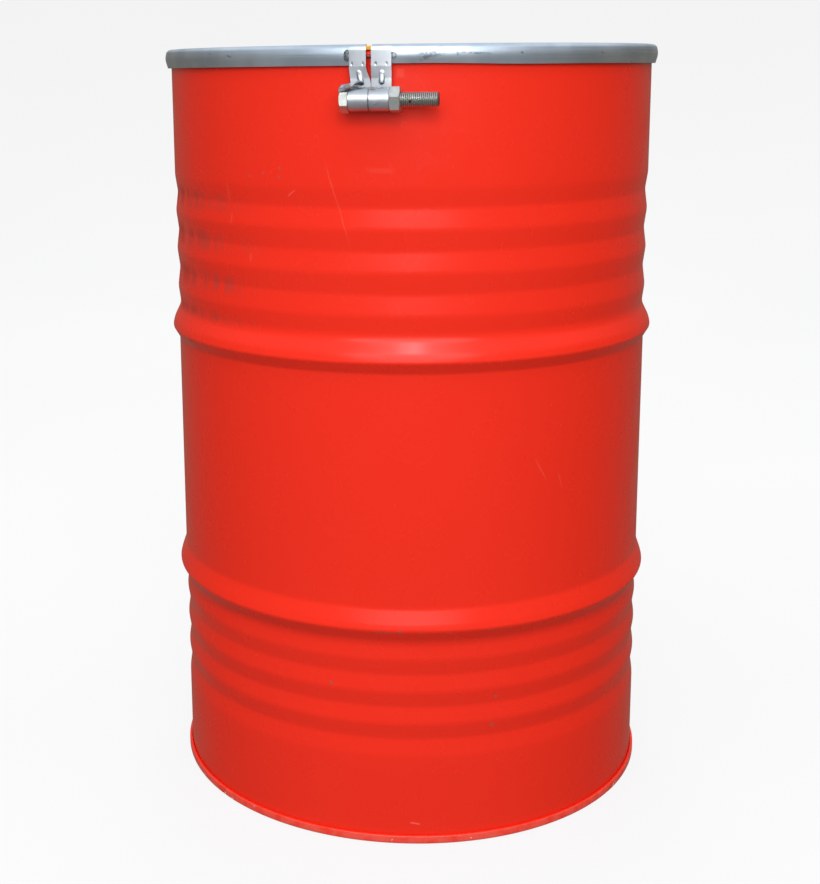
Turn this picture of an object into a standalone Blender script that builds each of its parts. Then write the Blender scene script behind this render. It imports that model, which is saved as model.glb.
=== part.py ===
"""Open-head steel drum with a bolted closing ring. Metres, +Z up.

The drum stands on z = 0 and its axis is the Z axis. The split of the closing ring and its
bolt face -Y. Sheet-metal pieces are drawn as the middle line of their sheet in a plane
through the axis, given a thickness, and turned about the axis.
"""

import math

import bmesh
import bpy
from mathutils import Matrix, Vector

# Driving dimensions
HEIGHT = 0.887  # floor to the top of the closing ring
WALL_R = 0.287  # outer face of the plain wall
SHEET = 0.0010  # shell, lid and bottom head
RING_SHEET = 0.0012
LUG_SHEET = 0.0022
GAP = 0.0003  # between pieces that touch
SEGMENTS = 40  # flats around the drum
FRONT = math.radians(-90)  # direction of the ring's split

# Rolling hoops and grooves of the shell
HOOP_Z = (0.258, 0.558)
HOOP_RISE = 0.0070
HOOP_HALF = 0.0190
HOOP_FLAT = 0.0035
GROOVES = 4
GROOVE_DEPTH = 0.0030
GROOVE_FLAT = 0.0050
UPPER_FIRST, UPPER_PITCH = 0.0250, 0.0457  # from the upper hoop, going up
LOWER_FIRST, LOWER_PITCH = 0.0180, 0.0382  # from the lower hoop, going down
GROUP_RUN_OUT = 0.0200

# Curl along the top of the shell
CURL_R = 0.0022
CURL_STRAIGHT = 0.0040
CURL_TOP = HEIGHT - 0.0068

# Double seam at the bottom
SEAM_HOOK = 0.0065
SEAM_BEND = 0.0007  # cut of each corner in the seam
HOOK_SHORT = 0.0018  # from the end of the head's hook to the shell's fold
HEAD_DEPTH = 0.0165
HEAD_STEP = 0.0035
HEAD_BEND = 0.0030
HEAD_FLAT = 0.0400  # from the head's wall to the foot of its step
HEAD_SLOPE = 0.0080

# Lid
LID_TOP = HEIGHT - RING_SHEET - GAP
LID_RIM = 0.0065
LID_DEPTH = 0.0145
LID_LIP = 0.0042
LID_STEP = 0.0045
LID_BEND = 0.0010  # cut of each corner of the rim
LID_FOOT = 0.0018  # cut of the corner at the foot of the countersink
LID_FLAT = 0.0420  # from the countersink's wall to the foot of its step
LID_SLOPE = 0.0100
LIP_GAP = 0.0006  # between the curl and the lid's inner wall

# Closing ring and lugs
RING_H = 0.0215
RING_LEG = 0.0100
RING_ROUND = 0.0032
RING_R = WALL_R + 0.0069
BAND_GAP = (-0.0046, 0.0022)  # ends of the band, along X
EYE_Y = -(WALL_R + 0.0178)
EYE_Z = HEIGHT - 0.0552
EYE_R = 0.0118
LUG_W = 0.0208
LUG_X = 0.0016  # where the two eyes meet
LUG_FOOT = EYE_Z + 0.0144  # the straps are straight below this height
LUG_BEND = EYE_Z + 0.0215  # and slope out to the ring above this one
LUG_LEAN = (0.0016, 0.0049)  # how far the head-side strap's two edges lean away at its top
TONGUE_T = 0.0018
WELD_SIZE = (0.0020, 0.0013, 0.0052)  # half sizes of a bead

# Bolt and nut, M16 x 2
BOLT_R = 0.0077
FLATS = 0.0240
CORNER = FLATS / 2 / math.cos(math.pi / 6)
CHAMFER = 0.0009
BOLT_HEAD = 0.0086
NUT_H = 0.0108
BOLT_END = 0.0724
NUT_FACET = math.radians(42)  # tilt of the facet that looks up and forwards
HEAD_FACET = math.radians(63)  # tilt of the facet under the tongue
SEAL_HOLE_R = 0.0014
SEAL_HOLE_X = 0.0432

MIDDLE = WALL_R - SHEET / 2
LAYER = SHEET + GAP


def clear_scene():
    for obj in list(bpy.data.objects):
        bpy.data.objects.remove(obj, do_unlink=True)


def material(name, color, roughness, metallic):
    made = bpy.data.materials.new(name)
    made.use_nodes = True
    shader = made.node_tree.nodes["Principled BSDF"]
    shader.inputs["Base Color"].default_value = (*color, 1)
    shader.inputs["Roughness"].default_value = roughness
    shader.inputs["Metallic"].default_value = metallic
    return made


def add_object(name, bm, mat, origin=(0, 0, 0), parent=None):
    """One named piece whose origin is at the given point; bm is in world coordinates."""
    bmesh.ops.recalc_face_normals(bm, faces=bm.faces)
    bmesh.ops.translate(bm, verts=bm.verts, vec=-Vector(origin))
    mesh = bpy.data.meshes.new(name)
    bm.to_mesh(mesh)
    bm.free()
    mesh.materials.append(mat)
    mesh.shade_smooth()
    mesh.set_sharp_from_angle(angle=math.radians(35))
    obj = bpy.data.objects.new(name, mesh)
    obj.location = origin
    bpy.context.scene.collection.objects.link(obj)
    if parent:
        obj.parent = parent
        obj.location = Vector(origin) - parent.location
    return obj


def empty(name, place):
    made = bpy.data.objects.new(name, None)
    made.location = place
    bpy.context.scene.collection.objects.link(made)
    return made


def arc(cx, cz, radius, start, end, steps):
    """Points of an arc in the section plane, angles in degrees from the outward direction."""
    turns = [math.radians(start + (end - start) * i / steps) for i in range(steps + 1)]
    return [(cx + radius * math.cos(t), cz + radius * math.sin(t)) for t in turns]


def sheet_outline(path, thickness):
    """Closed outline of a sheet whose middle line is path."""
    left, right = [], []
    for i, point in enumerate(path):
        before = Vector(path[max(i - 1, 0)])
        after = Vector(path[min(i + 1, len(path) - 1)])
        here = Vector(point)
        one = (here - before).normalized() if i else (after - here).normalized()
        two = (after - here).normalized() if i < len(path) - 1 else one
        normal = Vector((-(one + two).y, (one + two).x)).normalized()
        reach = thickness / 2 / max(normal.dot(Vector((-one.y, one.x))), 0.5)
        left.append(tuple(here + normal * reach))
        right.append(tuple(here - normal * reach))
    return left + right[::-1]


def cap_sheet(bm, loop):
    """Closes one end of a sheet: loop holds the verts of a sheet outline, in its order."""
    for i in range(len(loop) // 2 - 1):
        bm.faces.new([loop[i], loop[i + 1], loop[-2 - i], loop[-1 - i]])


def turned(outline, angles=None):
    """Mesh of a closed (radius, z) outline turned about Z, whole or over a list of angles."""
    bm = bmesh.new()
    whole = angles is None
    if whole:
        angles = [2 * math.pi * i / SEGMENTS for i in range(SEGMENTS)]
    on_axis = {}
    rings = []
    for angle in angles:
        ring = []
        for i, (r, z) in enumerate(outline):
            if r < 1e-6:
                on_axis[i] = on_axis.get(i) or bm.verts.new((0, 0, z))
                ring.append(on_axis[i])
            else:
                ring.append(bm.verts.new((r * math.cos(angle), r * math.sin(angle), z)))
        rings.append(ring)
    pairs = list(zip(rings, rings[1:] + rings[:1]))
    for first, second in pairs if whole else pairs[:-1]:
        for i in range(len(outline)):
            j = (i + 1) % len(outline)
            corners = [first[i], first[j], second[j], second[i]]
            corners = list(dict.fromkeys(corners))
            if len(corners) > 2:
                bm.faces.new(corners)
    if not whole:
        cap_sheet(bm, rings[0])
        cap_sheet(bm, rings[-1])
    return bm


def box(low, high):
    bm = bmesh.new()
    bmesh.ops.create_cube(bm, size=1)
    low, high = Vector(low), Vector(high)
    bmesh.ops.scale(bm, verts=bm.verts, vec=high - low)
    bmesh.ops.translate(bm, verts=bm.verts, vec=(low + high) / 2)
    return bm


def bar_along_x(radii_at, sides, first_angle=0.0, bore=None):
    """A round or hexagonal bar along X about the eye's axis: radii_at lists (x, radius)."""
    bm = bmesh.new()
    loops = []
    profile = list(radii_at)
    if bore:
        profile += [(radii_at[-1][0], bore), (radii_at[0][0], bore)]
    for x, radius in profile:
        ring = []
        for i in range(sides):
            t = first_angle + 2 * math.pi * i / sides
            y = EYE_Y - radius * math.cos(t)
            ring.append(bm.verts.new((x, y, EYE_Z + radius * math.sin(t))))
        loops.append(ring)
    pairs = list(zip(loops, loops[1:] + loops[:1]))
    for one, two in pairs if bore else pairs[:-1]:
        for i in range(sides):
            j = (i + 1) % sides
            bm.faces.new([one[i], one[j], two[j], two[i]])
    if not bore:
        bm.faces.new(loops[0])
        bm.faces.new(loops[-1][::-1])
    return bm


def helper(name, bm):
    """A hidden mesh that a Boolean uses."""
    obj = add_object(name, bm, bpy.data.materials["helper"])
    obj.hide_render = True
    obj.display_type = "WIRE"
    return obj


def boolean(obj, other, operation):
    made = obj.modifiers.new(other.name, "BOOLEAN")
    made.operation = operation
    made.object = other
    made.solver = "EXACT"


def hoop(z):
    """Middle-line points of one rolling hoop, from its upper foot to its lower foot."""
    rise = MIDDLE + HOOP_RISE
    return [
        (MIDDLE, z + HOOP_HALF),
        (rise, z + HOOP_FLAT),
        (rise, z - HOOP_FLAT),
        (MIDDLE, z - HOOP_HALF),
    ]


def grooves(first, pitch):
    """Middle-line points of a group of grooves, going down from first, with the crests between."""
    bottom = MIDDLE - GROOVE_DEPTH
    points = [(MIDDLE, first + GROUP_RUN_OUT)]
    for i in range(GROOVES):
        z = first - i * pitch
        points += [(bottom, z + GROOVE_FLAT), (bottom, z - GROOVE_FLAT)]
        if i < GROOVES - 1:
            points.append((MIDDLE, z - pitch / 2))
    return points


def body_section():
    """Middle line of the shell from the end of the curl down to the end of the seam hook."""
    cx = MIDDLE + CURL_R
    upper = CURL_TOP - SHEET / 2 - CURL_R
    lower = upper - CURL_STRAIGHT
    path = arc(cx, lower, CURL_R, -110, 0, 2) + arc(cx, upper, CURL_R, 0, 180, 4)
    path += [(MIDDLE, lower)]
    low_hoop, high_hoop = HOOP_Z
    path += grooves(high_hoop + UPPER_FIRST + (GROOVES - 1) * UPPER_PITCH, UPPER_PITCH)
    path += hoop(high_hoop)[1:]
    path += hoop(low_hoop)[:-1]
    first = low_hoop - LOWER_FIRST
    path += grooves(first, LOWER_PITCH)[1:]
    path += [(MIDDLE, first - (GROOVES - 1) * LOWER_PITCH - GROUP_RUN_OUT)]
    fold = SHEET / 2 + LAYER
    path += [(MIDDLE, fold + SEAM_BEND), (MIDDLE + SEAM_BEND, fold)]
    outer = MIDDLE + 2 * LAYER
    path += [(outer - SEAM_BEND, fold), (outer, fold + SEAM_BEND), (outer, fold + SEAM_HOOK)]
    return path


def make_body_shell(mat):
    bm = turned(sheet_outline(body_section(), SHEET))
    return add_object("body_shell", bm, mat)


def head_section():
    """Middle line of the bottom head, from the end of its hook to the axis."""
    inner, hook, outer = MIDDLE - LAYER, MIDDLE + LAYER, MIDDLE + 3 * LAYER
    fold = SHEET / 2
    top = fold + LAYER + SEAM_HOOK + LAYER
    return [
        (hook, fold + 2 * LAYER + HOOK_SHORT),
        (hook, top - SEAM_BEND),
        (hook + SEAM_BEND, top),
        (outer - SEAM_BEND, top),
        (outer, top - SEAM_BEND),
        (outer, fold + SEAM_BEND),
        (outer - SEAM_BEND, fold),
        (inner + SEAM_BEND, fold),
        (inner, fold + SEAM_BEND),
        (inner, HEAD_DEPTH - HEAD_BEND),
        (inner - HEAD_BEND, HEAD_DEPTH),
        (inner - HEAD_FLAT, HEAD_DEPTH),
        (inner - HEAD_FLAT - HEAD_SLOPE, HEAD_DEPTH + HEAD_STEP),
        (0.0, HEAD_DEPTH + HEAD_STEP),
    ]


def disc_outline(path, thickness):
    """Outline of a sheet that ends on the axis, its end squared to the axis."""
    outline = sheet_outline(path, thickness)
    return [(0.0 if r < 1e-5 else r, z) for r, z in outline]


def make_bottom_head(mat):
    bm = turned(disc_outline(head_section(), SHEET))
    return add_object("bottom_head", bm, mat)


def make_seam_compound(mat):
    low = SHEET + LAYER + 2 * GAP
    high = low + 0.0010
    inner, outer = WALL_R + GAP, WALL_R + 2 * LAYER - SHEET - GAP
    bm = turned([(inner, low), (outer, low), (outer, high), (inner, high)])
    return add_object("seam_compound", bm, mat)


def curl_outer():
    return MIDDLE + 2 * CURL_R + SHEET / 2


def lid_section():
    """Middle line of the lid, from the edge of its lip to the axis."""
    lip = curl_outer() - SHEET / 2
    top = LID_TOP - SHEET / 2
    rise = lip - LID_RIM - LIP_GAP
    panel = LID_TOP - LID_DEPTH
    return [
        (lip, LID_TOP - LID_LIP),
        (lip, top - LID_BEND),
        (lip - LID_BEND, top),
        (rise + LID_BEND, top),
        (rise, top - LID_BEND),
        (rise, panel + LID_FOOT),
        (rise - LID_FOOT, panel),
        (rise - LID_FLAT, panel),
        (rise - LID_FLAT - LID_SLOPE, panel + LID_STEP),
        (0.0, panel + LID_STEP),
    ]


def make_lid(mat, parent):
    bm = turned(disc_outline(lid_section(), SHEET))
    return add_object("lid", bm, mat, parent=parent)


def make_gasket(mat, parent):
    top = LID_TOP - SHEET - GAP
    outer = curl_outer() - SHEET - GAP
    inner = curl_outer() - LID_RIM - LIP_GAP + GAP
    low = CURL_TOP + GAP
    edge = 0.0006
    outline = [
        (inner, low),
        (outer, low),
        (outer, top - edge),
        (outer - edge, top),
        (inner + edge, top),
        (inner, top - edge),
    ]
    return add_object("lid_gasket", turned(outline), mat, parent=parent)


def ring_section():
    """Middle line of the closing ring, from the inner end of its top leg to its lower leg."""
    top = HEIGHT - RING_SHEET / 2
    middle = RING_R - RING_SHEET / 2
    low = HEIGHT - RING_H + RING_SHEET / 2
    path = [(RING_R - RING_LEG, top)]
    path += arc(middle - RING_ROUND, top - RING_ROUND, RING_ROUND, 90, 0, 3)
    path += [(middle, low + 0.0016), (middle - 0.0008, low + 0.0002)]
    path += [(curl_outer() + GAP, low)]
    return path


def make_closing_ring(mat, parent):
    start = FRONT + math.asin(BAND_GAP[1] / RING_R)
    end = FRONT + 2 * math.pi + math.asin(BAND_GAP[0] / RING_R)
    step = 2 * math.pi / SEGMENTS
    between = [i * step for i in range(-SEGMENTS, SEGMENTS)]
    angles = [start] + [a for a in between if start + 0.01 < a < end - 0.01] + [end]
    bm = turned(sheet_outline(ring_section(), RING_SHEET), angles)
    return add_object("closing_ring", bm, mat, parent=parent)


def lug_section():
    """Middle line of a lug: over the ring's shoulder, down its face, in to the wall, round the eye."""
    half = LUG_SHEET / 2
    away = RING_SHEET / 2 + GAP + half
    shoulder_r = RING_R - RING_SHEET / 2 - RING_ROUND
    shoulder_z = HEIGHT - RING_SHEET / 2 - RING_ROUND
    radius = EYE_R - half
    eye = -EYE_Y
    path = arc(shoulder_r, shoulder_z, RING_ROUND + away, 28, 0, 2)
    face = path[-1][0]
    path += [(face, HEIGHT - RING_H - 0.0005), (eye - radius, LUG_BEND), (eye - radius, LUG_FOOT)]
    path += arc(eye, EYE_Z, radius, 180, 180 + 296, 14)
    return path


def lug_mesh(x0, x1, lean=(0, 0)):
    """A strap of the lug section from x0 to x1; its top follows the ring, and its edges may lean."""
    bm = bmesh.new()
    outline = sheet_outline(lug_section(), LUG_SHEET)
    top = HEIGHT - RING_H
    loops = []
    for share in (0, 1 / 3, 2 / 3, 1):
        loop = []
        for r, z in outline:
            up = min(max((z - LUG_FOOT) / (top - LUG_FOOT), 0), 1)
            x = x0 + (x1 - x0) * share - (lean[0] + (lean[1] - lean[0]) * share) * up
            bent = math.sqrt(r * r - x * x)
            loop.append(bm.verts.new((x, -(r + (bent - r) * up), z)))
        loops.append(loop)
    for one, two in zip(loops, loops[1:]):
        for i in range(len(outline)):
            j = (i + 1) % len(outline)
            bm.faces.new([one[i], one[j], two[j], two[i]])
    cap_sheet(bm, loops[0])
    cap_sheet(bm, loops[-1])
    return bm


def tongue(x0, x1, near, far, half_width):
    """A plate along X that lies over the bolt head's upper front facet."""
    bm = box((x0, -far, -half_width), (x1, -near, half_width))
    turn = Matrix.Rotation(-HEAD_FACET, 4, "X")
    bmesh.ops.transform(bm, verts=bm.verts, matrix=Matrix.Translation((0, EYE_Y, EYE_Z)) @ turn)
    return bm


def lug_ends():
    """The X of the outer ends of the head-side eye and the nut-side eye."""
    reach = GAP / 2 + LUG_W
    return LUG_X - reach, LUG_X + reach


def make_head_side_lug(mat, parent):
    x0 = lug_ends()[0]
    lug = add_object("head_side_lug", lug_mesh(x0, x0 + LUG_W, LUG_LEAN), mat, parent=parent)
    over = FLATS / 2 + GAP
    plate = tongue(x0 - 0.0066, x0 + 0.0080, over, over + TONGUE_T, 0.0050)
    root = tongue(x0 + 0.0030, x0 + 0.0079, EYE_R - 0.0012, over + TONGUE_T / 2, 0.0049)
    boolean(lug, helper("tongue_root", root), "UNION")
    boolean(lug, helper("tongue_plate", plate), "UNION")
    return lug


def make_nut_side_lug(mat, parent):
    x1 = lug_ends()[1]
    return add_object("nut_side_lug", lug_mesh(x1 - LUG_W, x1), mat, parent=parent)


def make_weld(name, x, mat, parent):
    """A weld bead in the corner between a strap's edge and the face of the ring."""
    bm = bmesh.new()
    bmesh.ops.create_uvsphere(bm, u_segments=12, v_segments=8, radius=1)
    y = -(math.sqrt(RING_R**2 - x * x) + WELD_SIZE[1] + GAP)
    bmesh.ops.scale(bm, verts=bm.verts, vec=WELD_SIZE)
    bmesh.ops.translate(bm, verts=bm.verts, vec=(x, y, HEIGHT - RING_H * 0.52))
    return add_object(name, bm, mat, parent=parent)


def head_faces():
    """The X of the head's two faces."""
    under = lug_ends()[0] - GAP
    return under - BOLT_HEAD, under


def make_bolt(mat, parent):
    outer, under = head_faces()
    shape = [(outer, CORNER - CHAMFER), (outer + CHAMFER, CORNER), (under, CORNER)]
    head = bar_along_x(shape, 6, HEAD_FACET + math.pi / 6)
    point = 0.0012
    tip = [(under - point, BOLT_R), (BOLT_END - point, BOLT_R), (BOLT_END, BOLT_R - point)]
    hole = bar_along_x([(-0.02, SEAL_HOLE_R), (0.02, SEAL_HOLE_R)], 10)
    place = Matrix.Translation((SEAL_HOLE_X, EYE_Y, EYE_Z)) @ Matrix.Rotation(math.pi / 2, 4, "Z")
    place = place @ Matrix.Translation((0, -EYE_Y, -EYE_Z))
    bmesh.ops.transform(hole, verts=hole.verts, matrix=place)
    at = (outer, EYE_Y, EYE_Z)
    bolt = add_object("closing_bolt", head, mat, at, parent)
    boolean(bolt, helper("bolt_shank", bar_along_x(tip, 24)), "UNION")
    boolean(bolt, helper("seal_hole", hole), "DIFFERENCE")
    return bolt


def make_nut(mat, parent):
    near = lug_ends()[1] + GAP
    far = near + NUT_H
    small = CORNER - CHAMFER
    shape = [(near, small), (near + CHAMFER, CORNER), (far - CHAMFER, CORNER), (far, small)]
    body = bar_along_x(shape, 6, NUT_FACET + math.pi / 6)
    at = (near, EYE_Y, EYE_Z)
    nut = add_object("closing_nut", body, mat, at, parent)
    bore = bar_along_x([(near - 0.01, BOLT_R + GAP), (far + 0.01, BOLT_R + GAP)], 24)
    boolean(nut, helper("nut_bore", bore), "DIFFERENCE")
    return nut


def build():
    clear_scene()
    material("helper", (0.5, 0.5, 0.5), 0.5, 0)
    red = material("red_paint", (0.80, 0.035, 0.015), 0.38, 0)
    yellow = material("yellow_paint", (0.75, 0.42, 0.03), 0.4, 0)
    zinc = material("zinc_sheet", (0.55, 0.58, 0.62), 0.38, 1)
    plated = material("plated_steel", (0.50, 0.51, 0.50), 0.35, 1)
    weld = material("weld_metal", (0.30, 0.31, 0.33), 0.55, 1)
    rubber = material("gasket_rubber", (0.02, 0.02, 0.02), 0.75, 0)
    compound = material("seam_compound", (0.55, 0.50, 0.40), 0.7, 0)
    make_body_shell(red)
    make_bottom_head(red.copy())
    make_seam_compound(compound)
    lid_group = empty("lid_group", (0, 0, LID_TOP))
    make_lid(yellow, lid_group)
    make_gasket(rubber, lid_group)
    ring_group = empty("ring_group", (0, 0, HEIGHT))
    make_closing_ring(zinc, ring_group)
    make_head_side_lug(zinc.copy(), ring_group)
    make_nut_side_lug(zinc.copy(), ring_group)
    left, right = lug_ends()
    left -= LUG_LEAN[0] + WELD_SIZE[0] + GAP
    right += WELD_SIZE[0] + GAP
    make_weld("head_side_weld", left, weld, ring_group)
    make_weld("nut_side_weld", right, weld.copy(), ring_group)
    make_bolt(plated, ring_group)
    make_nut(plated.copy(), ring_group)


build()
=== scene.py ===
"""Open-head steel drum with a bolted closing ring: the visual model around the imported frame.

Metres, +Z up. The drum's axis is the Z axis, the floor is z = 0 and the closing ring's bolt
faces -Y. Sheet-metal pieces are drawn as a path of rounded corners in a plane through the
axis, given a thickness, and turned about the axis.
"""

import math

import bmesh
import bpy
from mathutils import Matrix, Vector, noise


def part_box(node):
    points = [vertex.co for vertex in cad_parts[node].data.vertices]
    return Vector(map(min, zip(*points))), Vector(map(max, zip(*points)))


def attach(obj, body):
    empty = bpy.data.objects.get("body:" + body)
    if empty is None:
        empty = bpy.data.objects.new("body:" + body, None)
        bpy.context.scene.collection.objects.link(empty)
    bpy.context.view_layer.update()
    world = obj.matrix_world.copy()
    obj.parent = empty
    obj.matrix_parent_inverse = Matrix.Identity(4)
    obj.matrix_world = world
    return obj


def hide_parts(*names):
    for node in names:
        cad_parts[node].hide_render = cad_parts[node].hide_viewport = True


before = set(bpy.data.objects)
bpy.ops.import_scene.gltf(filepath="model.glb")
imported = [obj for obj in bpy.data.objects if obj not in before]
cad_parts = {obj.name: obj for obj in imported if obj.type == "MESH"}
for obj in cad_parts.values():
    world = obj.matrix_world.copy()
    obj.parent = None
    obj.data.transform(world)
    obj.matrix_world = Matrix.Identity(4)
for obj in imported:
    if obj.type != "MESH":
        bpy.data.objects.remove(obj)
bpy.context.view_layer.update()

# Places from the frame
SHELL_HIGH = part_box("body_shell")[1]
LID_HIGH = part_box("lid")[1]
GASKET_LOW, GASKET_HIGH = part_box("lid_gasket")
RING_LOW, RING_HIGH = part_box("closing_ring")
BOLT_LOW, BOLT_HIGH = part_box("closing_bolt")
NUT_LOW, NUT_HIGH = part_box("closing_nut")
LEFT_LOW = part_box("head_side_lug")[0]
RIGHT_LOW, RIGHT_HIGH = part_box("nut_side_lug")
LEFT_WELD = sum(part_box("head_side_weld"), Vector()) / 2
RIGHT_WELD = sum(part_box("nut_side_weld"), Vector()) / 2

# Sheets
SHEET = 0.0010
RING_SHEET = 0.0012
LUG_SHEET = 0.0022
GAP = 0.0003
LAYER = SHEET + GAP
TURNS = 288  # steps around the axis
SHELL_TURNS = 200  # the same for the shell, whose outline has the most points

# Shell
CURL_R = 0.0022
CURL_OUTER = LID_HIGH.x
MIDDLE = CURL_OUTER - 2 * CURL_R - SHEET / 2
HOOPS = (0.258, 0.558)
HOOP_R = SHELL_HIGH.x - SHEET / 2
HOOP_SHOULDER = 0.0074  # from the crest up to the turn of its upper side
HOOP_HEAD = 0.0225  # from the lower hoop's crest up to the plain wall
HOOP_FOOT = 0.0138  # from the upper hoop's crest down to the plain wall
GROOVES = 4
GROOVE_R = MIDDLE - 0.0030
UPPER_FIRST, UPPER_PITCH = 0.0250, 0.0457
LOWER_FIRST, LOWER_PITCH = 0.0180, 0.0382
WALL_END = 0.0200  # from the last groove to the plain wall
SEAM_ANGLE = math.radians(140)
SEAM_HALF = 0.0032

# Bottom
SEAM_HOOK = 0.0065
HEAD_DEPTH = 0.0165
HEAD_STEP = 0.0035

# Lid
LID_TOP = LID_HIGH.z
LID_RIM = 0.0071
LID_DEPTH = 0.0145
LID_STEP = 0.0045

# Closing ring
RING_R = RING_HIGH.x
RING_TOP = RING_HIGH.z
RING_BOTTOM = RING_LOW.z
BAND_ENDS = (-0.0046, 0.0022)

# Lugs, bolt and nut
AXIS_Y = (BOLT_LOW.y + BOLT_HIGH.y) / 2
AXIS_Z = (BOLT_LOW.z + BOLT_HIGH.z) / 2
EYE_R = -LEFT_LOW.y + AXIS_Y
MEET_X = RIGHT_LOW.x - GAP / 2
LUG_W = RIGHT_HIGH.x - RIGHT_LOW.x
LUG_LEAN = (0.0016, 0.0049)  # how far the left strap's two sides lean at the ring
LUG_FOOT = AXIS_Z + 0.0144
LUG_BEND = AXIS_Z + 0.0215
LUG_SHOULDER = 0.0061  # the ring's outer edge radius, which the strap wraps
RIB_LOW, RIB_HIGH, RIB_HALF = AXIS_Z + 0.0180, AXIS_Z + 0.0265, 0.0029
RIB_PROUD, RIB_FADE = 0.0018, 0.0012
DIMPLE_OUT, DIMPLE_UP, DIMPLE_DEPTH = 0.0056, 0.0020, 0.0008
TONGUE_SHEET = 0.0020
TONGUE_CREASE = 0.0009
FLATS = 0.0240
BOLT_R = 0.0077
THREAD_DEPTH = 0.0010
PITCH = 0.0020
BOLT_HEAD = 0.0086
NUT_FACET = math.radians(42)  # tilt of a facet that looks up and forwards
HEAD_FACET = math.radians(63)
SEAL_HOLE_X = 0.0432
SEAL_HOLE_R = 0.0016
SEAL_HOLE_TILT, SEAL_HOLE_SWING = math.radians(16), math.radians(6)

# Colours, linear
RED = (0.80, 0.023, 0.008)
RED_SHADE = (0.62, 0.018, 0.007)
RED_PALE = (0.90, 0.18, 0.13)
CHIP = (0.20, 0.10, 0.085)
YELLOW = (0.60, 0.28, 0.016)
ZINC_DARK = (0.22, 0.25, 0.29)
PLATE = (0.70, 0.72, 0.68)
PLATE_VALLEY_SHADE = (0.11, 0.105, 0.085)
RUST = (0.28, 0.10, 0.03)
SEALANT = (0.42, 0.37, 0.28)


# ---------------------------------------------------------------- paths and meshes


def rounded(corners, step=math.radians(9)):
    """Points of a path through corners (r, z, radius), each corner turned with its radius."""
    points = [Vector(corners[0][:2])]
    for before, here, after in zip(corners, corners[1:], corners[2:]):
        at = Vector(here[:2])
        one = (at - Vector(before[:2])).normalized()
        two = (Vector(after[:2]) - at).normalized()
        turn = one.angle_signed(two)
        reach = here[2] * math.tan(abs(turn) / 2)
        if reach < 1e-6:
            points.append(at)
            continue
        side = Vector((one.y, -one.x)) * math.copysign(1, turn)
        start = at - one * reach
        centre = start + side * here[2]
        count = max(2, math.ceil(abs(turn) / step))
        for i in range(count + 1):
            spin = Matrix.Rotation(-turn * i / count, 2)
            points.append(centre + spin @ (start - centre))
    points.append(Vector(corners[-1][:2]))
    return points


def divided(path, longest):
    """The path with its long stretches cut into equal steps."""
    points = [path[0]]
    for one, two in zip(path, path[1:]):
        count = max(1, math.ceil((two - one).length / longest))
        points += [one.lerp(two, (i + 1) / count) for i in range(count)]
    return points


def normals_of(path):
    found = []
    for i in range(len(path)):
        along = path[min(i + 1, len(path) - 1)] - path[max(i - 1, 0)]
        found.append(Vector((-along.y, along.x)).normalized())
    return found


def sheet_loop(path, thickness):
    """(closed outline, index of the first point of its second side) of a sheet on that path."""
    sides = normals_of(path)
    half = thickness / 2
    left = [p + n * half for p, n in zip(path, sides)]
    right = [p - n * half for p, n in zip(path, sides)]
    ends = [path[0] + (path[0] - path[1]).normalized() * half * 0.7]
    ends.append(path[-1] + (path[-1] - path[-2]).normalized() * half * 0.7)
    on_axis = path[-1].x < 1e-5
    if on_axis:
        left[-1].x = right[-1].x = 0
    tail = [] if on_axis else [ends[1]]
    return left + tail + right[::-1] + [ends[0]], len(left)


def mesh_object(name, points, faces, mats, picks=None):
    mesh = bpy.data.meshes.new(name)
    mesh.from_pydata(points, [], faces)
    for mat in mats:
        mesh.materials.append(mat)
    if picks:
        mesh.polygons.foreach_set("material_index", picks)
    mesh.update()
    obj = bpy.data.objects.new(name, mesh)
    bpy.context.scene.collection.objects.link(obj)
    tidy(obj)
    return obj


def tidy(obj, angle=42):
    """Merges doubled points, turns the faces outwards and shades the piece smooth."""
    bm = bmesh.new()
    bm.from_mesh(obj.data)
    bmesh.ops.remove_doubles(bm, verts=bm.verts, dist=1e-6)
    bmesh.ops.recalc_face_normals(bm, faces=bm.faces)
    bm.to_mesh(obj.data)
    bm.free()
    obj.data.shade_smooth()
    obj.data.set_sharp_from_angle(angle=math.radians(angle))


def turned(name, loop, mats, inner_from=None, angles=None, shift=None, below=9.0, whole=False):
    """A closed (radius, z) outline turned about Z.

    Points from inner_from on take material 1 where they are lower than below.
    shift(angle, radius, z) gives each point's small move (outwards, up).
    whole joins the last of the given angles to the first.
    """
    if angles is None:
        whole = True
        angles = [2 * math.pi * i / TURNS for i in range(TURNS)]
    points = []
    for angle in angles:
        for r, z in loop:
            out, up = shift(angle, r, z) if shift else (0, 0)
            points.append(((r + out) * math.cos(angle), (r + out) * math.sin(angle), z + up))
    size = len(loop)
    faces, picks = [], []
    for i in range(len(angles) if whole else len(angles) - 1):
        a, b = i * size, (i + 1) % len(angles) * size
        for j in range(size):
            k = (j + 1) % size
            if loop[j][0] == 0 and loop[k][0] == 0:
                continue
            faces.append((a + j, a + k, b + k, b + j))
            picks.append(int(inner_from is not None and j >= inner_from and loop[j][1] < below))
    if not whole:
        last = (len(angles) - 1) * size
        for i in range(size // 2 - 1):
            for base in (0, last):
                faces.append(tuple(base + n for n in (i, i + 1, size - 3 - i, size - 2 - i)))
                picks.append(0)
    return mesh_object(name, points, faces, mats, picks)


def ripple(size, scale, seed):
    """A small smooth unevenness for turned sheets: about size metres over waves of 1 / scale."""
    offset = Vector((seed, seed * 0.7, 0))

    def shift(angle, r, z):
        place = Vector((r * math.cos(angle), r * math.sin(angle), z * 0.6)) * scale
        return size * noise.noise(place + offset), 0

    return shift


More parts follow.
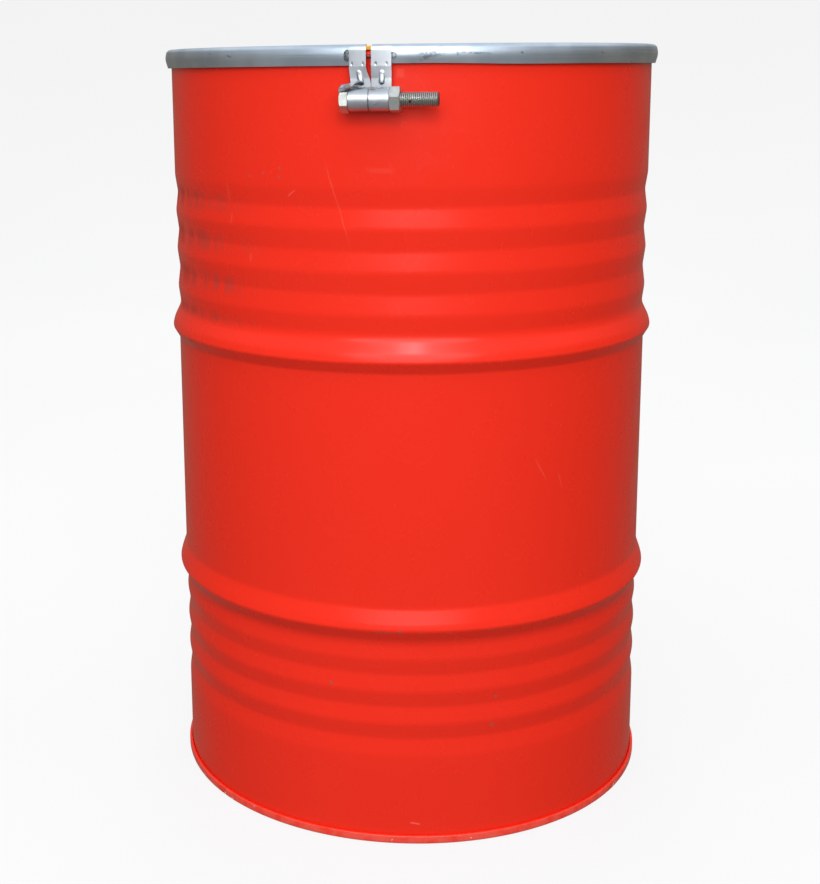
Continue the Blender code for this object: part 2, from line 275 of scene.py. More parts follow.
def applied(obj):
    """Replaces the mesh by the evaluated one and drops the modifiers."""
    graph = bpy.context.evaluated_depsgraph_get()
    made = bpy.data.meshes.new_from_object(obj.evaluated_get(graph))
    obj.modifiers.clear()
    obj.data = made
    return obj


def sheet_object(name, grid, thickness, mat, edge=0.00035):
    """A sheet of the given thickness on a grid of middle points, with softened edges."""
    rows, cols = len(grid), len(grid[0])
    points = [p for row in grid for p in row]
    faces = []
    for i in range(rows - 1):
        for j in range(cols - 1):
            a = i * cols + j
            faces.append((a, a + 1, a + cols + 1, a + cols))
    obj = mesh_object(name, points, faces, [mat])
    solid = obj.modifiers.new("thickness", "SOLIDIFY")
    solid.thickness = thickness
    solid.offset = 0
    solid.use_even_offset = True
    soft = obj.modifiers.new("edges", "BEVEL")
    soft.width = edge
    soft.segments = 2
    soft.limit_method = "ANGLE"
    soft.angle_limit = math.radians(50)
    applied(obj)
    tidy(obj, 50)
    return obj


def smooth(a, b, x):
    t = min(max((x - a) / (b - a), 0), 1)
    return t * t * (3 - 2 * t)


# ---------------------------------------------------------------- shader helpers


class Shader:
    """One Principled material and short calls for the nodes that feed it."""

    def __init__(self, name, metallic=0.0, roughness=0.4, color=(0.5, 0.5, 0.5)):
        self.mat = bpy.data.materials.new(name)
        self.mat.use_nodes = True
        self.tree = self.mat.node_tree
        self.main = self.tree.nodes["Principled BSDF"]
        self.main.inputs["Metallic"].default_value = metallic
        self.main.inputs["Roughness"].default_value = roughness
        self.main.inputs["Base Color"].default_value = (*color, 1)
        self.place = self.add("ShaderNodeTexCoord").outputs["Object"]
        self.wall = None

    def add(self, kind, **settings):
        node = self.tree.nodes.new(kind)
        for key, value in settings.items():
            setattr(node, key, value)
        return node

    def feed(self, socket, value):
        if isinstance(value, bpy.types.NodeSocket):
            self.tree.links.new(value, socket)
        elif isinstance(value, tuple) and len(value) == 3 and socket.type == "RGBA":
            socket.default_value = (*value, 1)
        else:
            socket.default_value = value

    def math(self, operation, a, b=0.0, clamp=False):
        node = self.add("ShaderNodeMath", operation=operation, use_clamp=clamp)
        self.feed(node.inputs[0], a)
        self.feed(node.inputs[1], b)
        return node.outputs[0]

    def scaled(self, size, place=None):
        node = self.add("ShaderNodeVectorMath", operation="MULTIPLY")
        self.feed(node.inputs[0], place or self.place)
        node.inputs[1].default_value = size
        return node.outputs[0]

    def noise(self, scale, detail=3.0, place=None, rough=0.5):
        node = self.add("ShaderNodeTexNoise")
        self.feed(node.inputs["Vector"], place or self.place)
        node.inputs["Scale"].default_value = scale
        node.inputs["Detail"].default_value = detail
        node.inputs["Roughness"].default_value = rough
        return node.outputs["Fac"]

    def between(self, value, low, high, to_low=0.0, to_high=1.0):
        node = self.add("ShaderNodeMapRange", interpolation_type="SMOOTHSTEP")
        self.feed(node.inputs["Value"], value)
        node.inputs["From Min"].default_value = low
        node.inputs["From Max"].default_value = high
        node.inputs["To Min"].default_value = to_low
        node.inputs["To Max"].default_value = to_high
        return node.outputs["Result"]

    def mix(self, share, a, b):
        node = self.add("ShaderNodeMix", data_type="RGBA")
        self.feed(node.inputs[0], share)
        self.feed(node.inputs[6], a)
        self.feed(node.inputs[7], b)
        return node.outputs[2]

    def bump(self, height, strength, distance, under=None):
        node = self.add("ShaderNodeBump")
        node.inputs["Strength"].default_value = strength
        node.inputs["Distance"].default_value = distance
        self.feed(node.inputs["Height"], height)
        if under:
            self.feed(node.inputs["Normal"], under)
        return node.outputs["Normal"]

    def parts(self):
        node = self.add("ShaderNodeSeparateXYZ")
        self.feed(node.inputs[0], self.place)
        return node.outputs

    def around(self):
        """(distance along the circumference at the wall, height) as sockets."""
        x, y, z = self.parts()
        angle = self.math("ARCTAN2", x, self.math("MULTIPLY", y, -1.0))
        return self.math("MULTIPLY", angle, MIDDLE), z

    def unrolled(self, along, up):
        """Coordinates that run round the drum and up it, scaled by along and up."""
        turn, z = self.around()
        node = self.add("ShaderNodeCombineXYZ")
        self.feed(node.inputs[0], self.math("MULTIPLY", turn, along))
        self.feed(node.inputs[1], self.math("MULTIPLY", z, up))
        return node.outputs[0]

    def spot(self, place, size, soft=0.5):
        """1 inside a ball at place, falling to 0 at its edge."""
        node = self.add("ShaderNodeVectorMath", operation="DISTANCE")
        self.feed(node.inputs[0], self.place)
        node.inputs[1].default_value = place
        return self.between(node.outputs["Value"], size * soft, size, 1.0, 0.0)

    def level(self, z, half, soft):
        """1 within half of height z, fading over soft."""
        away = self.math("ABSOLUTE", self.math("SUBTRACT", self.parts()[2], z))
        return self.between(away, half, half + soft, 1.0, 0.0)

    def radius(self):
        x, y, _ = self.parts()
        square = self.math("ADD", self.math("MULTIPLY", x, x), self.math("MULTIPLY", y, y))
        return self.math("SQRT", square)

    def mark(self, turn, z, across, along, lean):
        """1 inside a slim slanting patch on the wall, with an uneven edge."""
        if self.wall is None:
            rough = self.add("ShaderNodeTexNoise")
            self.feed(rough.inputs["Vector"], self.place)
            rough.inputs["Scale"].default_value = 150
            shake = self.add("ShaderNodeVectorMath", operation="MULTIPLY_ADD")
            self.feed(shake.inputs[0], rough.outputs["Color"])
            shake.inputs[1].default_value = (0.0022, 0.0022, 0)
            self.feed(shake.inputs[2], self.unrolled(1.0, 1.0))
            self.wall = shake.outputs[0]
        local = self.add("ShaderNodeMapping", vector_type="TEXTURE")
        self.feed(local.inputs["Vector"], self.wall)
        along_wall = math.radians(turn) * MIDDLE
        local.inputs["Location"].default_value = (along_wall + 0.0011, z + 0.0011, 0)
        local.inputs["Rotation"].default_value = (0, 0, math.radians(lean))
        local.inputs["Scale"].default_value = (across, along, 1)
        size = self.add("ShaderNodeVectorMath", operation="ABSOLUTE")
        self.feed(size.inputs[0], local.outputs[0])
        parts = self.add("ShaderNodeSeparateXYZ")
        self.feed(parts.inputs[0], size.outputs[0])
        away = self.math("MAXIMUM", parts.outputs[0], parts.outputs[1])
        return self.between(away, 0.5, 1.2, 1.0, 0.0)

    def finish(self, color=None, roughness=None, normal=None):
        for name, value in (("Base Color", color), ("Roughness", roughness), ("Normal", normal)):
            if value is not None:
                self.feed(self.main.inputs[name], value)
        return self.mat


SCRATCHES_AND_REFLECTION = (  # degrees round from the front, height, half width, half length, lean, strength
    (-7.4, 0.725, 0.0006, 0.046, 17, 0.22),
    (-18.0, 0.734, 0.0006, 0.006, -52, 0.40),
    (1.9, 0.759, 0.0026, 0.015, 88, 0.09),
    (-36.1, 0.731, 0.0009, 0.010, 3, 0.22),
    (-35.1, 0.703, 0.0009, 0.006, -4, 0.24),
    (-29.3, 0.662, 0.0009, 0.005, 0, 0.26),
    (38.0, 0.430, 0.0007, 0.014, 30, 0.22),
    (43.5, 0.413, 0.0006, 0.010, 15, 0.22),
    (9.2, 0.024, 0.0012, 0.006, 80, 0.50),
    # A pale patch, not a scratch: a painted reflection of a lamp on the wall near the top
    (6.0, 0.858, 0.0045, 0.005, 0, 0.18),
)
SMUDGES = (  # degrees round from the front, half sizes, lean
    (12.2, 0.0048, 0.0130, -74),
    (21.0, 0.0010, 0.0170, 88),
    (17.5, 0.0012, 0.0022, 20),
    (31.0, 0.0010, 0.0020, 60),
    (52.0, 0.0010, 0.0025, 70),
    (-33.0, 0.0012, 0.0040, 75),
)
NICKS = (  # degrees round from the front, height, half size
    (-28.8, 0.751, 0.0014),
    (-25.1, 0.754, 0.0012),
    (-20.8, 0.760, 0.0013),
    (-20.9, 0.751, 0.0012),
    (-9.9, 0.187, 0.0019),
    (27.7, 0.171, 0.0016),
    (26.8, 0.138, 0.0020),
    (5.9, 0.2555, 0.0020),
)


def red_paint(name, rim=False):
    s = Shader(name, roughness=0.26)
    s.main.inputs["Specular IOR Level"].default_value = 0.22
    cloud = s.between(s.noise(2.6, 2.0), 0.35, 0.70)
    color = s.mix(s.math("MULTIPLY", cloud, 0.14), RED, RED_SHADE)
    # Dust in the grooves of one side
    dust = s.between(s.noise(70.0, 4.0, s.scaled((1, 1, 0.22)), 0.62), 0.36, 0.62)
    dust = s.math("MULTIPLY", dust, s.between(s.radius(), GROOVE_R + 0.0028, GROOVE_R + 0.0010))
    dust = s.math("MULTIPLY", dust, s.spot((-0.25, -0.14, 0.64), 0.19, 0.5))
    color = s.mix(s.math("MULTIPLY", dust, 0.48), color, (0.30, 0.045, 0.032))
    speck = s.between(s.noise(230.0, 3.0, rough=0.6), 0.60, 0.68)
    speck = s.math("MULTIPLY", speck, s.spot((-0.29, -0.06, 0.15), 0.17, 0.4))
    color = s.mix(s.math("MULTIPLY", speck, 0.55), color, CHIP)
    # Scratches and nicks, and a pale patch near the top that is a painted reflection of a lamp
    for turn, z, across, along, lean, strength in SCRATCHES_AND_REFLECTION:
        line = s.mark(turn, z, across, along, lean)
        color = s.mix(s.math("MULTIPLY", line, strength), color, RED_PALE)
    for turn, z, half in NICKS:
        color = s.mix(s.math("MULTIPLY", s.mark(turn, z, half, half, 20), 0.8), color, CHIP)
    # Paint rubbed off the crests of the hoops
    worn = s.between(s.noise(60.0, 4.0, rough=0.7), 0.50, 0.60)
    patch = s.between(s.noise(5.0, 1.0), 0.50, 0.58)
    crest = None
    for z in HOOPS:
        at = s.level(z - 0.0030, 0.0004, 0.0012)
        crest = at if crest is None else s.math("MAXIMUM", crest, at)
    worn = s.math("MULTIPLY", s.math("MULTIPLY", worn, patch), crest)
    color = s.mix(s.math("MULTIPLY", worn, 0.6), color, CHIP)
    if rim:
        # On the chime's outer edge: a pale band that is a painted highlight, and chips of bare
        # metal where the paint is off
        edge = s.between(s.radius(), MIDDLE + 3 * LAYER - 0.0004, MIDDLE + 3 * LAYER + 0.0004)
        rim_highlight = s.between(s.noise(70.0, 4.0, rough=0.6), 0.30, 0.60, 0.10, 0.38)
        color = s.mix(s.math("MULTIPLY", edge, rim_highlight), color, RED_PALE)
        bare = s.between(s.noise(90.0, 4.0, rough=0.65), 0.66, 0.69)
        color = s.mix(s.math("MULTIPLY", s.math("MULTIPLY", edge, bare), 0.8), color, PLATE)
    rough = s.between(s.noise(18.0, 4.0), 0.3, 0.7, 0.22, 0.30)
    rough = s.math("ADD", rough, s.math("MULTIPLY", s.math("MAXIMUM", worn, dust), 0.25))
    peel = s.bump(s.noise(420.0, 2.0), 0.04, 0.0004)
    normal = s.bump(s.noise(3.2, 2.0), 0.06, 0.0040, peel)
    return s.finish(color, rough, normal)


def yellow_paint(name):
    s = Shader(name, roughness=0.5)
    s.main.inputs["Specular IOR Level"].default_value = 0.22
    cloud = s.between(s.noise(4.0, 3.0), 0.35, 0.70)
    color = s.mix(s.math("MULTIPLY", cloud, 0.20), YELLOW, (0.50, 0.21, 0.012))
    scuff = s.between(s.noise(30.0, 5.0, s.scaled((1, 4, 1)), rough=0.65), 0.62, 0.72)
    color = s.mix(s.math("MULTIPLY", scuff, 0.35), color, (0.66, 0.42, 0.16))
    rough = s.between(s.noise(16.0, 4.0), 0.3, 0.7, 0.42, 0.55)
    return s.finish(color, rough, s.bump(s.noise(380.0, 2.0), 0.05, 0.0004))


def bare_steel(name):
    s = Shader(name, metallic=1.0)
    grain = s.noise(1.0, 4.0, s.unrolled(18.0, 320.0), 0.6)
    stain = s.between(s.noise(5.0, 5.0, rough=0.6), 0.35, 0.75)
    color = s.mix(s.between(grain, 0.3, 0.7), (0.42, 0.42, 0.41), (0.56, 0.56, 0.55))
    color = s.mix(s.math("MULTIPLY", stain, 0.45), color, (0.30, 0.28, 0.25))
    rough = s.between(grain, 0.2, 0.8, 0.34, 0.50)
    return s.finish(color, rough, s.bump(grain, 0.05, 0.0003))


def zinc(name, pale, dark, streaks=(10.0, 420.0), scuffs=0.62):
    """Zinc-coated sheet: fine streaks along the rolling direction, cloudy tone, dark rubs."""
    s = Shader(name, metallic=1.0)
    grain = s.noise(1.0, 5.0, s.unrolled(*streaks), 0.62)
    cloud = s.between(s.noise(22.0, 3.0), 0.3, 0.7)
    color = s.mix(cloud, dark, pale)
    streak = s.math("MULTIPLY", s.between(grain, 0.5, 0.8), 0.35)
    color = s.mix(streak, color, tuple(0.8 * c for c in dark))
    blot = s.noise(1.0, 5.0, s.unrolled(60.0, 230.0), 0.6)
    zone = s.between(s.noise(9.0, 1.0), 0.50, 0.60)
    rub = s.math("MULTIPLY", s.between(blot, scuffs, scuffs + 0.05), zone)
    color = s.mix(s.math("MULTIPLY", rub, 0.75), color, ZINC_DARK)
    rough = s.between(grain, 0.2, 0.8, 0.34, 0.50)
    rough = s.math("ADD", rough, s.math("MULTIPLY", rub, 0.15))
    return s, color, rough, s.bump(grain, 0.06, 0.0002)


def ring_zinc(name):
    s, color, rough, normal = zinc(name, (0.60, 0.68, 0.755), (0.47, 0.55, 0.63))
    smudge = s.between(s.noise(230.0, 5.0, rough=0.65), 0.38, 0.50)
    for turn, across, along, lean in SMUDGES:
        mark = s.math("MULTIPLY", s.mark(turn, RING_BOTTOM + 0.0115, across, along, lean), smudge)
        color = s.mix(s.math("MULTIPLY", mark, 0.85), color, ZINC_DARK)
    return s.finish(color, rough, normal)


def lug_zinc(name, rust_at=None):
    tones = (0.60, 0.63, 0.67), (0.46, 0.49, 0.525)
    s, color, rough, normal = zinc(name, *tones, (160.0, 60.0), 0.62)
    # Painted shade: the zinc is darker along the gap between the two eyes and where each strap
    # meets its eye, broken up by noise
    shade_mottle = s.between(s.noise(500.0, 4.0, rough=0.7), 0.30, 0.62)
    x, _, z = s.parts()
    eye_top = AXIS_Z + EYE_R
    from_joint = s.math("ABSOLUTE", s.math("SUBTRACT", x, MEET_X))
    joint_shade = s.between(from_joint, 0.0003, 0.0012, 1.0, 0.0)
    joint_shade = s.math("MULTIPLY", joint_shade, s.between(z, eye_top, eye_top + 0.003, 1.0, 0.0))
    from_root = s.math("ABSOLUTE", s.math("SUBTRACT", z, eye_top))
    root_shade = s.between(from_root, 0.0003, 0.0014, 1.0, 0.0)
    dark = s.math("MULTIPLY", s.math("MAXIMUM", joint_shade, root_shade), shade_mottle)
    color = s.mix(s.math("MULTIPLY", dark, 0.8), color, (0.10, 0.095, 0.085))
    if rust_at:
        speckle = s.between(s.noise(600.0, 4.0, rough=0.7), 0.42, 0.58)
        mark = s.math("MULTIPLY", s.spot(rust_at, 0.0042, 0.1), speckle)
        color = s.mix(mark, color, RUST)
        rough = s.math("ADD", rough, s.math("MULTIPLY", mark, 0.3))
    return s.finish(color, rough, normal)


def plating(name, valley_shade=0.85):
    s = Shader(name, metallic=1.0)
    cloud = s.noise(180.0, 4.0, rough=0.6)
    color = s.mix(s.between(cloud, 0.35, 0.7), (0.62, 0.64, 0.61), (0.47, 0.49, 0.455))
    _, y, z = s.parts()
    out_y = s.math("SUBTRACT", y, AXIS_Y)
    out_z = s.math("SUBTRACT", z, AXIS_Z)
    square = s.math("ADD", s.math("MULTIPLY", out_y, out_y), s.math("MULTIPLY", out_z, out_z))
    radius = s.math("SQRT", square)
    # Painted shade: the thread's valleys are darkened towards a dark tone
    deep = s.between(radius, BOLT_R - THREAD_DEPTH, BOLT_R - 0.2 * THREAD_DEPTH, 1.0, 0.0)
    color = s.mix(s.math("MULTIPLY", deep, valley_shade), color, PLATE_VALLEY_SHADE)
    rough = s.between(cloud, 0.3, 0.7, 0.36, 0.50)
    return s.finish(color, rough, s.bump(s.noise(700.0, 2.0), 0.05, 0.0002))


def weld_metal(name, dark=1.0):
    s = Shader(name, metallic=1.0)
    lumps = s.noise(420.0, 4.0, rough=0.7)
    valley = tuple(c * dark for c in (0.20, 0.21, 0.23))
    crest = tuple(c * dark for c in (0.48, 0.50, 0.53))
    color = s.mix(s.between(lumps, 0.35, 0.65), valley, crest)
    rough = s.between(lumps, 0.3, 0.7, 0.38, 0.62)
    return s.finish(color, rough, s.bump(lumps, 0.25, 0.0005))


def rubber(name, color=(0.018, 0.018, 0.019)):
    s = Shader(name)
    grain = s.noise(260.0, 3.0)
    pale = tuple(min(1.0, c * 2.2 + 0.01) for c in color)
    shade = s.mix(s.between(grain, 0.4, 0.8), color, pale)
    rough = s.between(grain, 0.3, 0.7, 0.62, 0.82)
    return s.finish(shade, rough, s.bump(grain, 0.12, 0.0003))


# ---------------------------------------------------------------- drum


def shell_corners():
    """Corners of the shell's middle line from under the curl down to the bottom seam."""
    low, high = HOOPS
    corners = []
    first = high + UPPER_FIRST + (GROOVES - 1) * UPPER_PITCH
    corners.append((MIDDLE, first + WALL_END, 0.045))
    for i in range(GROOVES):
        z = first - i * UPPER_PITCH
        corners.append((GROOVE_R, z, 0.022))
        if i < GROOVES - 1:
            corners.append((MIDDLE, z - UPPER_PITCH / 2, 0.030))
    corners.append((HOOP_R - 0.0012, high + HOOP_SHOULDER, 0.028))
    corners.append((HOOP_R + 0.0007, high - 0.0010, 0.0045))
    corners.append((MIDDLE, high - HOOP_FOOT, 0.0075))
    corners.append((MIDDLE, low + HOOP_HEAD, 0.016))
    corners.append((HOOP_R - 0.0012, low + HOOP_SHOULDER * 0.8, 0.022))
    corners.append((HOOP_R + 0.0007, low - 0.0010, 0.0050))
    first = low - LOWER_FIRST
    for i in range(GROOVES):
        z = first - i * LOWER_PITCH
        corners.append((GROOVE_R, z, 0.018))
        if i < GROOVES - 1:
            corners.append((MIDDLE, z - LOWER_PITCH / 2, 0.026))
    corners.append((MIDDLE, first - (GROOVES - 1) * LOWER_PITCH - WALL_END, 0.040))
    return corners


def shell_path():
    """Middle line of the shell, from inside the curl to the end of the seam hook."""
    cx = MIDDLE + CURL_R
    top = SHELL_HIGH.z - SHEET / 2 - CURL_R
    curl = []
    for i in range(17):
        turn = math.radians(-150 + 330 * i / 16)
        curl.append(Vector((cx + CURL_R * math.cos(turn), top + CURL_R * math.sin(turn))))
    curl = [Vector((p.x, p.y if p.y > top else top - (top - p.y) * 1.6)) for p in curl]
    fold = SHEET / 2 + LAYER
    outer = MIDDLE + 2 * LAYER
    corners = [(MIDDLE, top, 0)] + shell_corners()
    corners += [(MIDDLE, fold, 0.0012), (outer, fold, 0.0012), (outer, fold + SEAM_HOOK, 0)]
    return curl[:-1] + divided(rounded(corners, math.radians(4.4)), 0.024)


def shell_angles():
    """Even steps around the shell, with close ones at the weld seam up its back."""
    step = 2 * math.pi / SHELL_TURNS
    even = [SEAM_ANGLE + step * (i + 0.5) for i in range(1, SHELL_TURNS - 1)]
    return even + [SEAM_ANGLE + 2 * math.pi + SEAM_HALF / MIDDLE * k / 4 for k in range(-7, 8)]


def shell_shift():
    """Slight unevenness of the rolled sheet, and the flat-topped weld seam up its back."""
    wave = ripple(0.00022, 7.0, 3.1)

    def shift(angle, r, z):
        out = wave(angle, r, z)[0] * smooth(0.015, 0.05, z) * smooth(0.875, 0.84, z)
        away = abs((angle - SEAM_ANGLE + math.pi) % (2 * math.pi) - math.pi) * r
        return out + 0.0005 * smooth(SEAM_HALF * 1.3, SEAM_HALF * 0.9, away), 0

    return shift


def make_shell():
    loop, inner = sheet_loop(shell_path(), SHEET)
    outside = red_paint("body_paint")
    mats = [outside, bare_steel("inner_steel")]
    painted = SHELL_HIGH.z - 2 * CURL_R
    angles = shell_angles()
    obj = turned("shell", loop, mats, inner, angles, shell_shift(), painted, True)
    place(obj, "drum", "body_paint", "body_shell")


def make_bottom():
    inner, hook, outer = MIDDLE - LAYER, MIDDLE + LAYER, MIDDLE + 3 * LAYER
    fold = SHEET / 2
    top = fold + LAYER + SEAM_HOOK + LAYER
    corners = [
        (hook, fold + 2 * LAYER + 0.0018, 0),
        (hook, top, 0.0006),
        (outer, top, 0.0013),
        (outer, fold, 0.0020),
        (inner, fold, 0.0018),
        (inner, HEAD_DEPTH, 0.0035),
        (inner - 0.0400, HEAD_DEPTH, 0.012),
        (inner - 0.0480, HEAD_DEPTH + HEAD_STEP, 0.012),
        (0.0900, HEAD_DEPTH + HEAD_STEP, 0.02),
        (0.0850, HEAD_DEPTH + HEAD_STEP - 0.0012, 0.02),
        (0.0, HEAD_DEPTH + HEAD_STEP - 0.0012, 0),
    ]
    path = divided(rounded(corners), 0.012)
    loop, inner_side = sheet_loop(path, SHEET)
    paint = red_paint("bottom_paint", True)
    obj = turned("bottom", loop, [paint, bare_steel("head_steel")], inner_side)
    place(obj, "drum", "bottom_paint", "bottom_head")


def paint_compound():
    """The seam compound keeps its solid and gets a cured sealant's surface."""
    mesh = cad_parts["seam_compound"].data
    mesh.materials.clear()
    mesh.materials.append(rubber("sealant", SEALANT))


def make_lid():
    lip = CURL_OUTER - SHEET / 2
    top = LID_TOP - SHEET / 2
    rise = lip - LID_RIM
    panel = LID_TOP - LID_DEPTH
    corners = [
        (lip, LID_TOP - 0.0042, 0),
        (lip, top, 0.0027),
        (rise, top, 0.0020),
        (rise, panel, 0.0032),
        (rise - 0.0420, panel, 0.014),
        (rise - 0.0520, panel + LID_STEP, 0.014),
        (0.1200, panel + LID_STEP, 0.02),
        (0.1140, panel + LID_STEP - 0.0014, 0.02),
        (0.0, panel + LID_STEP - 0.0014, 0),
    ]
    path = divided(rounded(corners), 0.010)
    loop, inner_side = sheet_loop(path, SHEET)
    paint = yellow_paint("lid_paint")
    obj = turned("lid_sheet", loop, [bare_steel("lid_steel"), paint], inner_side)
    place(obj, "lid", "lid_paint", "lid")


def make_gasket():
    inner, outer = GASKET_HIGH.x - 0.0048, GASKET_HIGH.x
    low, high = GASKET_LOW.z, GASKET_HIGH.z
    corners = [
        ((inner + outer) / 2, low, 0),
        (outer, low, 0.0005),
        (outer, high, 0.0018),
        (inner, high, 0.0016),
        (inner, low, 0.0005),
        ((inner + outer) / 2 - 0.0001, low, 0),
    ]
    obj = turned("gasket", [tuple(p) for p in rounded(corners)], [rubber("gasket_rubber")])
    place(obj, "lid", "gasket_rubber", "lid_gasket")


# ---------------------------------------------------------------- closing ring


def ring_corners():
    """Corners of the ring's middle line, from the inner end of its top leg to its lower edge."""
    half = RING_SHEET / 2
    face = RING_R - half
    top, low = RING_TOP - half, RING_BOTTOM + half
    return [
        (RING_R - 0.0100, top, 0),
        (face - 0.0018, top, 0.0050),
        (face + 0.0003, (top + low) / 2, 0.016),
        (face - 0.0026, low, 0),
    ]


def ring_shift():
    """Slight waves in the band, and its lower edge drawn up a little beside the nut's lug."""
    wave = ripple(0.00035, 16.0, 8.4)

    def shift(angle, r, z):
        turn = math.degrees((angle + math.pi / 2) % (2 * math.pi))
        near = smooth(34, 10, turn) * smooth(0, 2, turn)
        return wave(angle, r, z)[0], 0.0018 * near * smooth(RING_BOTTOM + 0.008, RING_BOTTOM, z)

    return shift


def make_ring():
    front = math.radians(-90)
    start = front + math.asin(BAND_ENDS[1] / RING_R)
    end = front + 2 * math.pi + math.asin(BAND_ENDS[0] / RING_R)
    count = TURNS + 40
    angles = [start + (end - start) * i / count for i in range(count + 1)]
    path = divided(rounded(ring_corners(), math.radians(7)), 0.0015)
    loop, _ = sheet_loop(path, RING_SHEET)
    obj = turned("ring_band", loop, [ring_zinc("ring_zinc")], angles=angles, shift=ring_shift())
    place(obj, "ring", "ring_zinc", "closing_ring")


# ---------------------------------------------------------------- lugs


def lug_path():
    """(forward, up) middle line of a lug from the ring's top shoulder down and round the eye."""
    half = LUG_SHEET / 2
    face = RING_R + GAP + half
    back = -AXIS_Y - (EYE_R - half)
    shoulder = LUG_SHOULDER + GAP + half
    path = []
    for i in range(7):
        turn = math.radians(34 * (1 - i / 6))
        r = face - shoulder + shoulder * math.cos(turn)
        z = RING_TOP - LUG_SHOULDER + shoulder * math.sin(turn)
        path.append(Vector((r, z)))
    down = rounded(
        [
            (face, path[-1].y, 0),
            (face, RING_BOTTOM - 0.0005, 0.006),
            (back, LUG_BEND, 0.006),
            (back, LUG_FOOT, 0),
            (back, AXIS_Z + 0.0001, 0),
        ],
        math.radians(6),
    )
    path += divided(down, 0.0009)[1:]
    radius = EYE_R - half
    for i in range(1, 57):
        turn = math.radians(180 + 297 * i / 56)
        path.append(Vector((-AXIS_Y + radius * math.cos(turn), AXIS_Z + radius * math.sin(turn))))
    return path


def dent(x, z, at_x, at_z, half_x, half_z):
    """1 in the middle of an oval at (at_x, at_z), falling to 0 at its edge."""
    away = math.hypot((x - at_x) / half_x, (z - at_z) / half_z)
    return smooth(1.0, 0.35, away)


def rib(x, z, at_x, low, high, half):
    """1 on the back of an upright rib, falling to 0 at its sides and round ends."""
    beyond = max(low - z, z - high, 0)
    return smooth(half, half * 0.35, math.hypot(x - at_x, beyond))


def lug_grid(x0, x1, lean=(0, 0)):
    path = lug_path()
    sides = normals_of(path)
    cols = 43
    middle = (x0 + x1) / 2
    rows = []
    on_eye = False
    for i, (point, side) in enumerate(zip(path, sides)):
        on_eye = on_eye or point.y < AXIS_Z + 0.0002
        up = 0 if on_eye else smooth(LUG_FOOT, RING_BOTTOM, point.y)
        row = []
        for j in range(cols):
            share = j / (cols - 1)
            x = x0 + (x1 - x0) * share - (lean[0] + (lean[1] - lean[0]) * share) * up
            r, z = point
            if not on_eye:
                across = x - middle + (lean[0] + lean[1]) / 2 * up
                proud = RIB_PROUD - RIB_FADE * smooth(RIB_LOW, RIB_HIGH, z)
                lift = proud * rib(across, z, 0.0006, RIB_LOW, RIB_HIGH, RIB_HALF)
                for offset in (-DIMPLE_OUT, DIMPLE_OUT):
                    dip = dent(across, z, offset, RING_BOTTOM + DIMPLE_UP, 0.0014, 0.0019)
                    lift -= DIMPLE_DEPTH * dip
                r, z = r + side.x * lift, z + side.y * lift
            bent = math.sqrt(r * r - x * x)
            row.append((x, -(r + (bent - r) * up), z))
        rows.append(row)
    return rows


def make_lugs():
    left = MEET_X - GAP / 2 - LUG_W
    rust = (MEET_X + 0.0050, AXIS_Y - 0.0062, AXIS_Z + 0.0100)
    grid = lug_grid(left, left + LUG_W, LUG_LEAN)
    one = sheet_object("head_side_strap", grid, LUG_SHEET, lug_zinc("head_lug_zinc"))
    place(one, "ring", "head_lug_zinc", "head_side_lug")
    grid = lug_grid(RIGHT_LOW.x, RIGHT_HIGH.x)
    two = sheet_object("nut_side_strap", grid, LUG_SHEET, lug_zinc("nut_lug_zinc", rust))
    place(two, "ring", "nut_lug_zinc", "nut_side_lug")


def around_bolt(x, turn, radius):
    """A point at an angle from the front (-Y) upwards and a distance from the bolt's axis."""
    return Vector((x, AXIS_Y - radius * math.cos(turn), AXIS_Z + radius * math.sin(turn)))


def make_tongue():
    """The strip bent out of the head-side strap and hammered down over the bolt's head."""
    left = MEET_X - GAP / 2 - LUG_W
    stations = [  # x, angle from the front, distance from the axis, half width
        (left + 0.0135, 118, 0.0182, 0.0030),
        (left + 0.0090, 103, 0.0172, 0.0046),
        (left + 0.0045, 88, 0.0156, 0.0054),
        (left + 0.0005, 74, 0.0146, 0.0058),
        (left - 0.0035, 64, 0.0140, 0.0060),
        (left - 0.0070, 58, 0.0136, 0.0058),
        (left - 0.0088, 54, 0.0128, 0.0050),
    ]
    rows = []
    steps = 6
    for one, two in zip(stations, stations[1:]):
        for i in range(steps):
            rows.append([a + (b - a) * i / steps for a, b in zip(one, two)])
    rows.append(list(stations[-1]))
    grid = []
    for i, (x, turn, radius, half) in enumerate(rows):
        turn = math.radians(turn)
        centre = around_bolt(x, turn, radius)
        along = Vector((0, math.sin(turn), math.cos(turn)))
        row = []
        for j in range(11):
            share = j / 5 - 1
            crease = TONGUE_CREASE * noise.noise(Vector((x * 230, share * 1.6, 2.0)))
            out = (centre - Vector((x, AXIS_Y, AXIS_Z))).normalized() * crease
            point = centre + along * half * share + out
            point.x += 0.0005 * share * share
            row.append(tuple(point))
        grid.append(row)
    obj = sheet_object("tongue", grid, TONGUE_SHEET, lug_zinc("tongue_zinc"), 0.0005)
    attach(obj, "ring")


def lump(name, centre, size, seed, mat):
    """A small uneven ball of weld metal."""
    bm = bmesh.new()
    bmesh.ops.create_icosphere(bm, subdivisions=4, radius=1)
    for vert in bm.verts:
        swell = 1 + 0.22 * noise.noise(vert.co * 2.3 + Vector((seed, 0, 0)))
        vert.co = Vector(a * b * swell for a, b in zip(vert.co, size)) + Vector(centre)
    mesh = bpy.data.meshes.new(name)
    bm.to_mesh(mesh)
    bm.free()
    mesh.materials.append(mat)
    mesh.shade_smooth()
    obj = bpy.data.objects.new(name, mesh)
    bpy.context.scene.collection.objects.link(obj)
    return obj


